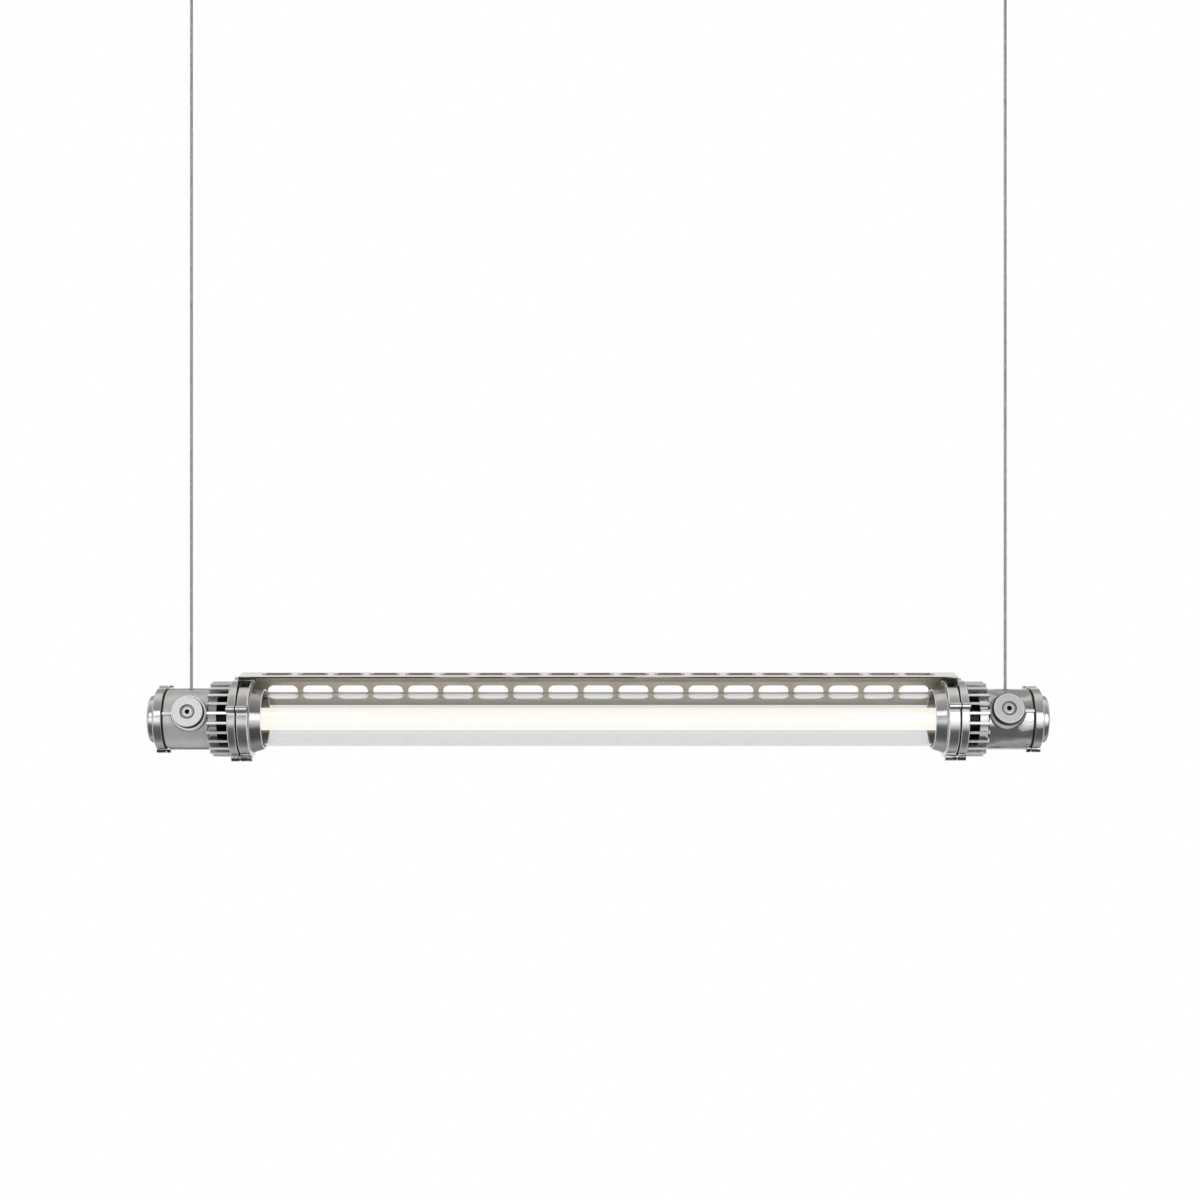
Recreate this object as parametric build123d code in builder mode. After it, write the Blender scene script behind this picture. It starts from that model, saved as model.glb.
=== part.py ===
from build123d import *
import os
from math import cos, radians, sin, tan

# A linear pendant light: a glass tube between two finned cast ends, hung on two steel cables.
# Millimetres. The origin lies on the ceiling, midway between the two ceiling flanges.
# +X runs along the lamp, -Y is its front and +Z is up.

# Hanging
axis_drop = 890.0
cable_diameter = 3.8
cable_setback = 36.0
left_casting_roll = 10.5
right_casting_roll = 15.5

# Glass tube and its seals
glass_diameter = 64.0
glass_wall = 1.8
glass_length = 856.0
glass_clearance = 1.2
glass_end_gap = 0.5
seal_width = 4.3
seal_length = 8.8
seat_clearance = 0.1

# Collar, from its mouth outwards
collar_flange_length = 13.0
collar_flange_width = 13.0
collar_neck_length = 14.0
collar_neck_width = 8.0
collar_mouth_wall = 2.4
edge_break = 0.8
rim_round = 1.2
neck_round = 2.5
mouth_round = 1.0
edge_match = 0.1

# Lugs that carry the flange bolts
lug_standout = 2.0
lug_radius = 4.5
lug_count = 4
lug_lead = 3.5
bolt_radius = 2.5
bolt_head_radius = 3.4
bolt_head_height = 4.0
bolt_socket = 3.0
bolt_socket_depth = 2.5
bolt_clearance = 0.1
bolt_head_gap = 0.2

# Guard
guard_sheet = 1.5
plate_setin = 1.2
guard_lean = 23.0
guard_fold = 34.0
guard_fold_radius = 2.0
guard_top_width = 24.0
guard_rise = 8.8
guard_side_width = 31.5
slot_end_margin = 20.0
slot_pitch = 42.3
slot_length = 35.8
slot_corner = 7.6
slot_end_flat = 0.02
side_slot_height = 16.0
side_slot_shift = 2.6
top_slot_height = 5.0

# Housing, from its flange outwards
housing_flange_length = 9.5
housing_flange_step = 1.0
neck_length = 14.0
body_length = 63.0
body_radius = 35.0
body_wall = 4.0
holder_seat_width = 5.0
holder_seat_depth = 15.0
glass_socket_depth = 5.0
fin_count = 24
fin_lead = 9.0
fin_length = 24.0
fin_setin = 1.0
fin_thickness = 2.8
rib_count = 4
rib_radius = 2.3

# End cap
cap_gasket_thickness = 1.5
cap_rim_length = 10.5
cap_rim_overhang = 2.0
cap_boss_length = 8.5
cap_boss_setin = 9.0
cap_boss_round = 3.0
cap_nub_radius = 5.0
cap_nub_height = 1.5
cap_wall = 4.0
cap_spigot_length = 4.0
cap_spigot_wall = 2.5
cap_spigot_clearance = 0.3
cap_lug_standout = 1.5
cap_lug_radius = 4.0
cap_lug_depth = 4.0
cap_screw_radius = 2.0
cap_screw_head_radius = 3.0
cap_screw_head_height = 2.6
cap_rim_round = 2.0

# Cable entry and its blanking plug
plug_setback = 31.4
entry_boss_lip = 2.2
entry_boss_stand = 6.0
entry_boss_flare = 3.0
plug_shank_length = 8.0
plug_clearance = 0.2
plug_seal_thickness = 1.5
plug_seal_setin = 0.4
plug_seal_width = 3.4
plug_radius = 17.8
plug_thickness = 5.5
plug_edge = 1.0
plug_recess_gap = 1.2
plug_recess_depth = 3.5
plug_screw_head_radius = 7.4
plug_screw_head_height = 3.0
plug_screw_round = 2.8
plug_screw_radius = 4.0
plug_screw_length = 6.0
plug_screw_socket = 5.0
plug_screw_socket_depth = 6.0

# Lamp tube
tube_diameter = 26.0
tube_wall = 1.0
tube_cap_length = 20.0
tube_cap_wall = 0.6
tube_cap_end = 2.0
tube_fit = 0.05
pin_radius = 1.175
pin_length = 7.0
pin_spacing = 12.7
spine_offset = 2.0
board_width = 16.0
board_thickness = 1.2
board_setback = 8.0

# Lampholder, holder plate and wiring
holder_gap = 0.5
holder_radius = 20.0
holder_length = 14.0
rotor_radius = 8.7
rotor_length = 7.4
rotor_gap = 0.6
rotor_clearance = 0.3
pin_clearance = 0.12
plate_thickness = 2.0
plate_notch_clearance = 0.6
holder_screw_radius = 1.5
holder_screw_length = 8.0
holder_screw_setin = 2.5
holder_screw_head_radius = 2.4
holder_screw_head_height = 1.8
block_width = 26.0
block_depth = 14.0
block_height = 12.0
block_drop = 12.0
lead_radius = 1.1
lead_spacing = 10.0
lead_drop = 4.0
lead_reach = 7.0
lead_bend = 4.0
lead_clearance = 0.4

# Swivels: one at each end of each cable
lower_pivot_setin = 9.0
upper_pivot_drop = 16.0
barrel_radius = 6.0
barrel_length = 19.0
barrel_side_play = 2.5
swivel_pin_radius = 1.5
eye_radius = 4.0
eye_round_play = 1.0
eye_side_play = 0.8
eye_side_lip = 0.1
sleeve_wall = 0.5
sleeve_length = 12.0
pin_fit = 0.1
trunnion_radius = 2.5
trunnion_depth = 3.5
trunnion_fit = 0.2
trunnion_head_radius = 4.2
trunnion_head_height = 2.0
ear_thickness = 4.0
ear_radius = 7.0
cable_hole_gap = 2.6
cable_hole_flare = 1.2

# Ceiling flange
flange_radius = 34.0
flange_thickness = 4.0
ceiling_hole_radius = 2.6
ceiling_hole_spacing = 48.0
hub_wall = 5.0
hub_length = 22.0

# Radii and distances from the lamp's axis
glass_radius = glass_diameter / 2
glass_bore = glass_radius + glass_clearance
collar_flange_radius = glass_radius + collar_flange_width
collar_neck_radius = glass_radius + collar_neck_width
lug_circle = collar_flange_radius + lug_standout
guard_top_height = collar_flange_radius + guard_rise
housing_flange_radius = collar_flange_radius + housing_flange_step
fin_radius = housing_flange_radius - fin_setin
cavity_radius = body_radius - body_wall
inner_bore = cavity_radius - holder_seat_width
neck_radius = inner_bore + body_wall
holder_screw_circle = cavity_radius - holder_screw_setin
lower_pivot_height = cavity_radius - lower_pivot_setin
cap_rim_radius = body_radius + cap_rim_overhang
cap_boss_radius = cap_rim_radius - cap_boss_setin
cap_lug_circle = body_radius + cap_lug_standout
entry_boss_height = body_radius + entry_boss_stand

# Plugs, cables and swivels
entry_boss_radius = plug_radius + entry_boss_lip
plug_seal_radius = plug_radius - plug_seal_setin
plug_shank_radius = plug_seal_radius - plug_seal_width
plug_recess_radius = plug_screw_head_radius + plug_recess_gap
sleeve_radius = cable_diameter / 2 + sleeve_wall
eye_thickness = 2 * (sleeve_radius + eye_side_lip)
barrel_slot_length = 2 * eye_radius + eye_round_play
barrel_slot_width = eye_thickness + eye_side_play
ear_gap = barrel_length + 2 * barrel_side_play
cable_hole_throat = sleeve_radius + cable_hole_gap
cable_hole_radius = cable_hole_throat + cable_hole_flare
hub_bore = ear_gap / 2
hub_radius = hub_bore + hub_wall

# Stations along the lamp, measured from its middle
housing_face = glass_length / 2 + glass_end_gap - glass_socket_depth
joint_half_span = housing_face - guard_sheet
collar_face = joint_half_span - collar_flange_length
mouth_face = collar_face - collar_neck_length
neck_start = housing_face + housing_flange_length
body_start = neck_start + neck_length
body_end = body_start + body_length
cap_face = body_end + cap_gasket_thickness
cap_boss_start = cap_face + cap_rim_length
cap_end = cap_boss_start + cap_boss_length
cap_screw_seat = cap_boss_start - cap_screw_head_height
plug_along = body_start + plug_setback
cable_along = body_start + cable_setback
plate_face = body_start + holder_seat_depth
plate_back = plate_face + plate_thickness
holder_face = plate_face - holder_length
tube_end = holder_face - holder_gap
slot_run = 2 * (joint_half_span - slot_end_margin) - slot_length
slot_count = int(slot_run / slot_pitch) + 1
sides = {"left": -1, "right": 1}
lamp_axis = Axis((0, 0, -axis_drop), (1, 0, 0))

os.makedirs("parts", exist_ok=True)


def save(piece, name):
    piece.part.label = name
    export_step(piece.part, f"parts/{name}.step")


# Each casting is clocked a little differently about the lamp's axis
def plug_direction(side):
    roll = radians(right_casting_roll if side > 0 else left_casting_roll)
    return (0, -cos(roll), sin(roll))


# Seen from outside along the lamp's axis, with the plug's direction as the first axis
def end_plane(side, along):
    origin = (side * along, 0, -axis_drop)
    return Plane(origin=origin, x_dir=plug_direction(side), z_dir=(side, 0, 0))


# The same plane unrolled, with straight up as the first axis
def upright_plane(side, along, height=0.0):
    return Plane(origin=(side * along, 0, height - axis_drop), x_dir=(0, 0, 1), z_dir=(side, 0, 0))


# Looking in at the plug, at a distance from the lamp's axis
def plug_plane(side, distance):
    direction = plug_direction(side)
    origin = (side * plug_along, distance * direction[1], distance * direction[2] - axis_drop)
    return Plane(origin=origin, x_dir=(1, 0, 0), z_dir=direction)


# An outline of (along, radius) points turned about the lamp's axis
def turned(side, points, mode=Mode.ADD):
    plane = Plane(origin=(0, 0, -axis_drop), x_dir=(side, 0, 0), z_dir=(0, -side, 0))
    with BuildSketch(plane) as outline:
        with BuildLine():
            Polyline(*points, close=True)
        make_face()
    revolve(outline.sketch, axis=lamp_axis, mode=mode)


# A disc on a plane, extruded along its normal
def disc(plane, radius, length, mode=Mode.ADD):
    with BuildSketch(plane) as round_face:
        Circle(radius)
    extrude(round_face.sketch, amount=length, mode=mode)


# Discs on a circle about a plane's origin
def disc_ring(plane, circle, count, radius, length, mode=Mode.ADD, start=0.0):
    with BuildSketch(plane) as round_faces:
        with PolarLocations(circle, count, start_angle=start):
            Circle(radius)
    extrude(round_faces.sketch, amount=length, mode=mode)


# Discs where the flange lugs stand, a little above the plug's direction
def lug_ring(side, along, radius, length, mode=Mode.ADD):
    disc_ring(end_plane(side, along), lug_circle, lug_count, radius, length, mode, -side * lug_lead)


# Rounds the rims of one radius at one station
def round_rim(piece, along, radius, size):
    rims = piece.edges().filter_by(GeomType.CIRCLE).filter_by(
        lambda edge: abs(abs(edge.center().X) - along) < edge_match
        and abs(edge.radius - radius) < edge_match
    )
    fillet(rims, size)


# Collars
for name, side in sides.items():
    with BuildPart() as collar:
        mouth_radius = glass_bore + collar_mouth_wall
        seal_bore = glass_radius + seal_width + seat_clearance
        seal_start = joint_half_span - seal_length
        turned(side, [
            (mouth_face, glass_bore + edge_break),
            (mouth_face, mouth_radius),
            (collar_face, collar_neck_radius),
            (collar_face, collar_flange_radius),
            (joint_half_span, collar_flange_radius),
            (joint_half_span, seal_bore),
            (seal_start, seal_bore),
            (seal_start, glass_bore),
            (mouth_face + edge_break, glass_bore),
        ])
        round_rim(collar, mouth_face, mouth_radius, mouth_round)
        round_rim(collar, collar_face, collar_neck_radius, neck_round)
        round_rim(collar, collar_face, collar_flange_radius, rim_round)
        round_rim(collar, joint_half_span, collar_flange_radius, edge_break)
        lug_ring(side, collar_face, lug_radius, collar_flange_length)
        lug_ring(side, collar_face, bolt_radius + bolt_clearance, collar_flange_length, Mode.SUBTRACT)
        lug_ring(side, collar_face, bolt_head_radius + bolt_head_gap, bolt_head_height, Mode.SUBTRACT)
    save(collar, f"{name}_collar")

    with BuildPart() as glass_seal:
        turned(side, [
            (joint_half_span - seal_length + seat_clearance, glass_radius + seat_clearance),
            (joint_half_span - seal_length + seat_clearance, glass_radius + seal_width),
            (joint_half_span, glass_radius + seal_width),
            (joint_half_span, glass_radius + seat_clearance),
        ])
    save(glass_seal, f"{name}_glass_seal")

# Glass tube
with BuildPart() as glass_tube:
    turned(1, [
        (-glass_length / 2, glass_radius - glass_wall),
        (-glass_length / 2, glass_radius),
        (glass_length / 2, glass_radius),
        (glass_length / 2, glass_radius - glass_wall),
    ])
save(glass_tube, "glass_tube")

# Flange bolts
with BuildPart() as flange_bolts:
    for side in sides.values():
        lug_ring(side, collar_face, bolt_head_radius, bolt_head_height)
        lug_ring(side, collar_face, bolt_radius, neck_start - collar_face)
        with BuildSketch(end_plane(side, collar_face)) as sockets:
            with PolarLocations(lug_circle, lug_count, start_angle=-side * lug_lead):
                RegularPolygon(bolt_socket / 2, 6, major_radius=False)
        extrude(sockets.sketch, amount=bolt_socket_depth, mode=Mode.SUBTRACT)
save(flange_bolts, "flange_bolts")


# Guard: a sheet in three facets, with end plates that the flanges clamp
def guard_normal(angle):
    lean = radians(guard_lean + angle)
    return Vector(0, sin(lean), cos(lean))


half_top = guard_top_width / 2
fold = radians(guard_fold)
fold_in = (half_top, guard_top_height)
edge_in = (half_top + guard_side_width * cos(fold), guard_top_height - guard_side_width * sin(fold))
fold_out = (half_top + guard_sheet * tan(fold / 2), guard_top_height + guard_sheet)
edge_out = (edge_in[0] + guard_sheet * sin(fold), edge_in[1] + guard_sheet * cos(fold))
guard_end = joint_half_span + guard_sheet
plate_radius = collar_flange_radius - plate_setin


def mirrored(point):
    return (-point[0], point[1])


def guard_plane(along):
    normal = guard_normal(0)
    return Plane(origin=(along, 0, -axis_drop), x_dir=(0, normal.Z, -normal.Y), z_dir=(1, 0, 0))


with BuildPart() as guard:
    with BuildSketch(guard_plane(-guard_end)) as section:
        with BuildLine():
            Polyline(
                edge_in, fold_in, mirrored(fold_in), mirrored(edge_in),
                mirrored(edge_out), mirrored(fold_out), fold_out, edge_out, close=True,
            )
        make_face()
        upward = Axis((0, 0, 0), guard_normal(0))
        inner_folds = section.vertices().group_by(upward)[-2]
        fillet(inner_folds, guard_fold_radius)
        outer_folds = section.vertices().group_by(upward)[-1]
        fillet(outer_folds, guard_fold_radius + guard_sheet)
    extrude(section.sketch, amount=2 * guard_end)
    for angle, slot_height in ((-guard_fold, side_slot_height), (0, top_slot_height),
                               (guard_fold, side_slot_height)):
        if angle == 0:
            middle = (0, guard_top_height)
        else:
            down_facet = guard_side_width / 2 - side_slot_shift
            middle = (fold_in[0] + down_facet * cos(fold), fold_in[1] - down_facet * sin(fold))
        across = Vector(0, guard_normal(0).Z, -guard_normal(0).Y)
        offset_across = across * middle[0] * (1 if angle > 0 else -1)
        centre = Vector(0, 0, -axis_drop) + guard_normal(0) * middle[1] + offset_across
        facet = Plane(origin=centre, x_dir=(1, 0, 0), z_dir=guard_normal(angle))
        with BuildSketch(facet) as slots:
            with GridLocations(slot_pitch, 1, slot_count, 1):
                RectangleRounded(slot_length, slot_height, min(slot_corner, (slot_height - slot_end_flat) / 2))
        extrude(slots.sketch, amount=2 * guard_sheet, both=True, mode=Mode.SUBTRACT)
    for side in sides.values():
        plate_at = joint_half_span if side > 0 else -guard_end
        with BuildSketch(guard_plane(plate_at)) as web:
            with BuildLine():
                Polyline(
                    edge_in, fold_in, mirrored(fold_in), mirrored(edge_in),
                    (-plate_radius, 0), (plate_radius, 0), close=True,
                )
            make_face()
            Circle(plate_radius)
            Circle(glass_bore, mode=Mode.SUBTRACT)
        extrude(web.sketch, amount=guard_sheet)
        lug_ring(side, joint_half_span, lug_radius - plate_setin, guard_sheet)
        lug_ring(side, joint_half_span, bolt_radius + bolt_clearance, guard_sheet, Mode.SUBTRACT)
save(guard, "guard")

# End housings
for name, side in sides.items():
    with BuildPart() as housing:
        turned(side, [
            (housing_face, neck_radius),
            (housing_face, housing_flange_radius),
            (neck_start, housing_flange_radius),
            (neck_start, neck_radius),
            (body_start, neck_radius),
            (body_start, body_radius),
            (body_end, body_radius),
            (body_end, 0),
            (housing_face, 0),
        ])
        disc(plug_plane(side, inner_bore), entry_boss_radius, entry_boss_height - inner_bore)
        boss_foot = housing.edges().filter_by(
            lambda edge: edge.geom_type not in (GeomType.CIRCLE, GeomType.LINE)
        )
        fillet(boss_foot, entry_boss_flare)
        round_rim(housing, housing_face, housing_flange_radius, edge_break)
        round_rim(housing, neck_start, housing_flange_radius, rim_round)
        with BuildSketch(upright_plane(side, neck_start)) as fins:
            fin_start = side * (90 - fin_lead)
            with PolarLocations((fin_radius + inner_bore) / 2, fin_count, start_angle=fin_start):
                Rectangle(fin_radius - inner_bore, fin_thickness)
        extrude(fins.sketch, amount=fin_length)
        fin_ends = housing.edges().filter_by(GeomType.LINE).filter_by(
            lambda edge: abs(abs(edge.center().X) - neck_start - fin_length) < edge_match
            and abs(edge.length - fin_thickness) < edge_match
        )
        chamfer(fin_ends, edge_break)
        lug_ring(side, housing_face, lug_radius, housing_flange_length)
        disc_ring(
            end_plane(side, body_end - cap_lug_depth), cap_lug_circle, 2, cap_lug_radius,
            cap_lug_depth, start=90,
        )
        disc_ring(end_plane(side, body_start), body_radius, rib_count, rib_radius, body_length)
        turned(side, [
            (housing_face, glass_radius + seat_clearance),
            (housing_face + glass_socket_depth, glass_radius + seat_clearance),
            (housing_face + glass_socket_depth, inner_bore),
            (plate_face, inner_bore),
            (plate_face, cavity_radius),
            (body_end, cavity_radius),
            (body_end, 0),
            (housing_face, 0),
        ], Mode.SUBTRACT)
        for ear_side in (-1, 1):
            ear_start = cable_along + ear_side * ear_gap / 2 - (ear_thickness if ear_side < 0 else 0)
            with BuildSketch(upright_plane(side, ear_start, lower_pivot_height)) as ear:
                Circle(ear_radius)
                ear_reach = cavity_radius + body_wall / 2 - lower_pivot_height
                with Locations((ear_reach / 2, 0)):
                    Rectangle(ear_reach, 2 * ear_radius)
            extrude(ear.sketch, amount=ear_thickness)
        disc(
            upright_plane(side, cable_along - ear_gap / 2 - ear_thickness, lower_pivot_height),
            trunnion_radius + seat_clearance, ear_gap + 2 * ear_thickness, Mode.SUBTRACT,
        )
        disc(
            plug_plane(side, inner_bore), plug_shank_radius + plug_clearance,
            entry_boss_height - inner_bore, Mode.SUBTRACT,
        )
        lug_ring(
            side, housing_face, bolt_radius + bolt_clearance, housing_flange_length, Mode.SUBTRACT,
        )
        disc_ring(
            end_plane(side, body_end - cap_lug_depth), cap_lug_circle, 2,
            cap_screw_radius + bolt_clearance, cap_lug_depth, Mode.SUBTRACT, 90,
        )
        disc_ring(
            upright_plane(side, plate_face - holder_screw_length), holder_screw_circle, 2,
            holder_screw_radius + bolt_clearance, holder_screw_length, Mode.SUBTRACT, 90,
        )
        hole_base = Plane.XY.move(
            Location((side * cable_along, 0, lower_pivot_height + barrel_radius - axis_drop))
        )
        hole_depth = body_radius + rib_radius - lower_pivot_height - barrel_radius
        with BuildSketch(hole_base) as throat:
            Circle(cable_hole_throat)
        with BuildSketch(hole_base.offset(hole_depth)) as rim:
            Circle(cable_hole_radius)
        loft([throat.sketch.face(), rim.sketch.face()], mode=Mode.SUBTRACT)
    save(housing, f"{name}_housing")

# End caps and their gaskets
for name, side in sides.items():
    spigot_radius = cavity_radius - cap_spigot_clearance
    with BuildPart() as end_cap:
        turned(side, [
            (cap_face - cap_gasket_thickness - cap_spigot_length, spigot_radius - cap_spigot_wall),
            (cap_face - cap_gasket_thickness - cap_spigot_length, spigot_radius),
            (cap_face, spigot_radius),
            (cap_face, cap_rim_radius),
            (cap_boss_start, cap_rim_radius),
            (cap_boss_start, cap_boss_radius),
            (cap_end, cap_boss_radius),
            (cap_end, 0),
            (cap_end - cap_wall, 0),
            (cap_end - cap_wall, cap_boss_radius - cap_wall),
            (cap_boss_start - cap_wall, cap_boss_radius - cap_wall),
            (cap_boss_start - cap_wall, spigot_radius - cap_spigot_wall),
        ])
        round_rim(end_cap, cap_end, cap_boss_radius, cap_boss_round)
        round_rim(end_cap, cap_boss_start, cap_boss_radius, cap_rim_round)
        round_rim(end_cap, cap_boss_start, cap_rim_radius, cap_rim_round)
        round_rim(end_cap, cap_face, cap_rim_radius, edge_break)
        disc(upright_plane(side, cap_end), cap_nub_radius, cap_nub_height)
        disc_ring(
            end_plane(side, cap_face), cap_lug_circle, 2, cap_lug_radius, cap_rim_length, start=90,
        )
        disc_ring(
            end_plane(side, cap_face), cap_lug_circle, 2, cap_screw_radius + bolt_clearance,
            cap_rim_length, Mode.SUBTRACT, 90,
        )
        disc_ring(
            end_plane(side, cap_screw_seat), cap_lug_circle, 2,
            cap_screw_head_radius + bolt_head_gap, cap_screw_head_height, Mode.SUBTRACT, 90,
        )
    save(end_cap, f"{name}_end_cap")

    with BuildPart() as end_cap_gasket:
        turned(side, [
            (body_end, cavity_radius),
            (body_end, body_radius - edge_break),
            (cap_face, body_radius - edge_break),
            (cap_face, cavity_radius),
        ])
    save(end_cap_gasket, f"{name}_end_cap_gasket")

with BuildPart() as end_cap_screws:
    for side in sides.values():
        shank_start = body_end - cap_lug_depth
        disc_ring(
            end_plane(side, shank_start), cap_lug_circle, 2, cap_screw_radius,
            cap_screw_seat - shank_start, start=90,
        )
        disc_ring(
            end_plane(side, cap_screw_seat), cap_lug_circle, 2, cap_screw_head_radius,
            cap_screw_head_height, start=90,
        )
save(end_cap_screws, "end_cap_screws")

# Blanking plugs in the cable entries
plug_face = entry_boss_height + plug_seal_thickness
plug_front = plug_face + plug_thickness
recess_floor = plug_front - plug_recess_depth
for name, side in sides.items():
    with BuildPart() as plug:
        disc(plug_plane(side, plug_face), plug_radius, plug_thickness)
        front_edge = plug.edges().filter_by(GeomType.CIRCLE).sort_by(Axis.Y)[0]
        chamfer(front_edge, plug_edge)
        disc(plug_plane(side, plug_face - plug_shank_length), plug_shank_radius, plug_shank_length)
        disc(plug_plane(side, recess_floor), plug_recess_radius, plug_recess_depth, Mode.SUBTRACT)
        disc(
            plug_plane(side, recess_floor - plug_screw_length), plug_screw_radius + bolt_clearance,
            plug_screw_length, Mode.SUBTRACT,
        )
    save(plug, f"{name}_plug")

    with BuildPart() as plug_seal:
        with BuildSketch(plug_plane(side, entry_boss_height)) as ring:
            Circle(plug_seal_radius)
            Circle(plug_shank_radius + seat_clearance, mode=Mode.SUBTRACT)
        extrude(ring.sketch, amount=plug_seal_thickness)
    save(plug_seal, f"{name}_plug_seal")

with BuildPart() as plug_screws:
    for side in sides.values():
        disc(plug_plane(side, recess_floor), plug_screw_head_radius, plug_screw_head_height)
        head_edges = plug_screws.edges().filter_by(GeomType.CIRCLE).filter_by(
            lambda edge: edge.center().X * side > 0
        )
        fillet(head_edges.sort_by(Axis.Y)[0], plug_screw_round)
        disc(plug_plane(side, recess_floor - plug_screw_length), plug_screw_radius, plug_screw_length)
        with BuildSketch(plug_plane(side, recess_floor + plug_screw_head_height)) as socket:
            RegularPolygon(plug_screw_socket / 2, 6, major_radius=False)
        extrude(socket.sketch, amount=-plug_screw_socket_depth, mode=Mode.SUBTRACT)
save(plug_screws, "plug_screws")

# Lamp tube: a full round diffuser over an aluminium spine and its board
tube_radius = tube_diameter / 2
diffuser_end = tube_end - tube_cap_end
with BuildPart() as diffuser:
    turned(1, [
        (-diffuser_end, tube_radius - tube_wall),
        (-diffuser_end, tube_radius),
        (diffuser_end, tube_radius),
        (diffuser_end, tube_radius - tube_wall),
    ])
save(diffuser, "tube_diffuser")

with BuildPart() as spine:
    with BuildSketch(upright_plane(1, -diffuser_end)) as half_round:
        Circle(tube_radius - tube_wall - tube_fit)
        with Locations((spine_offset - tube_diameter / 2, 0)):
            Rectangle(tube_diameter, tube_diameter, mode=Mode.SUBTRACT)
    extrude(half_round.sketch, amount=2 * diffuser_end)
save(spine, "tube_spine")

with BuildPart() as led_board:
    with BuildSketch(upright_plane(1, board_setback - diffuser_end, spine_offset)) as strip:
        with Locations((-board_thickness / 2, 0)):
            Rectangle(board_thickness, board_width)
    extrude(strip.sketch, amount=2 * (diffuser_end - board_setback))
save(led_board, "led_board")

for name, side in sides.items():
    with BuildPart() as tube_cap:
        cap_start = tube_end - tube_cap_length
        turned(side, [
            (cap_start, tube_radius + tube_fit),
            (cap_start, tube_radius + tube_cap_wall),
            (tube_end, tube_radius + tube_cap_wall),
            (tube_end, 0),
            (diffuser_end, 0),
            (diffuser_end, tube_radius + tube_fit),
        ])
    save(tube_cap, f"{name}_tube_cap")

with BuildPart() as tube_pins:
    for side in sides.values():
        disc_ring(upright_plane(side, tube_end), pin_spacing / 2, 2, pin_radius, pin_length, start=90)
save(tube_pins, "tube_pins")

# Lampholders, their rotors and plates, and the wiring behind them
rotor_start = tube_end + rotor_gap
rotor_pocket = rotor_start + rotor_length + rotor_clearance - holder_face
ear_height = lower_pivot_height - ear_radius
for name, side in sides.items():
    with BuildPart() as lampholder:
        disc(upright_plane(side, holder_face), holder_radius, holder_length)
        disc(upright_plane(side, holder_face), rotor_radius + rotor_clearance, rotor_pocket, Mode.SUBTRACT)
    save(lampholder, f"{name}_lampholder")

    with BuildPart() as holder_rotor:
        disc(upright_plane(side, rotor_start), rotor_radius, rotor_length)
        disc_ring(
            upright_plane(side, rotor_start), pin_spacing / 2, 2, pin_radius + pin_clearance,
            rotor_length, Mode.SUBTRACT, 90,
        )
    save(holder_rotor, f"{name}_holder_rotor")

    with BuildPart() as holder_plate:
        disc(upright_plane(side, plate_face), cavity_radius - cap_spigot_clearance, plate_thickness)
        with BuildSketch(upright_plane(side, plate_face)) as openings:
            notch_height = cavity_radius - ear_height + plate_notch_clearance
            with Locations((cavity_radius - notch_height / 2, 0)):
                Rectangle(notch_height, 2 * (ear_radius + plate_notch_clearance))
            with Locations((-lead_drop, lead_spacing / 2), (-lead_drop, -lead_spacing / 2)):
                Circle(lead_radius + lead_clearance)
            with PolarLocations(holder_screw_circle, 2, start_angle=90):
                Circle(holder_screw_radius + bolt_clearance)
        extrude(openings.sketch, amount=plate_thickness, mode=Mode.SUBTRACT)
    save(holder_plate, f"{name}_holder_plate")

    with BuildPart() as terminal_block:
        with BuildSketch(upright_plane(side, plate_back, -block_drop)) as block_face:
            with Locations((-block_height / 2, 0)):
                Rectangle(block_height, block_width)
        extrude(block_face.sketch, amount=block_depth)
    save(terminal_block, f"{name}_terminal_block")

    with BuildPart() as leads:
        for across in (-lead_spacing / 2, lead_spacing / 2):
            bend = (side * (plate_back + lead_reach), across, -lead_drop - axis_drop)
            with BuildLine() as route:
                FilletPolyline(
                    (side * plate_face, across, -lead_drop - axis_drop), bend,
                    (bend[0], across, -block_drop - axis_drop), radius=lead_bend,
                )
            with BuildSketch(Plane(origin=route.line @ 0, z_dir=route.line % 0)) as wire:
                Circle(lead_radius)
            sweep(wire.sketch, path=route.line)
    save(leads, f"{name}_leads")

with BuildPart() as holder_screws:
    for side in sides.values():
        screw_start = plate_face - holder_screw_length
        disc_ring(
            upright_plane(side, screw_start), holder_screw_circle, 2, holder_screw_radius,
            holder_screw_length + plate_thickness, start=90,
        )
        disc_ring(
            upright_plane(side, plate_back), holder_screw_circle, 2, holder_screw_head_radius,
            holder_screw_head_height, start=90,
        )
save(holder_screws, "holder_screws")


# A swivel barrel lies along X between its trunnions, and its pin lies along Y
def swivel_plane(side, height, along=0.0):
    return Plane(origin=(side * cable_along + along, 0, height), x_dir=(0, 0, 1), z_dir=(1, 0, 0))


def cross_plane(side, height, across=0.0):
    return Plane(origin=(side * cable_along, across, height), x_dir=(1, 0, 0), z_dir=(0, 1, 0))


def trunnion_pair(side, height, shoulder):
    barrel_end = barrel_length / 2
    for end in (-1, 1):
        tip = end * (barrel_end - trunnion_depth)
        disc(swivel_plane(side, height, tip), trunnion_radius, end * (shoulder - abs(tip)))
        disc(swivel_plane(side, height, end * shoulder), trunnion_head_radius, end * trunnion_head_height)


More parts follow.
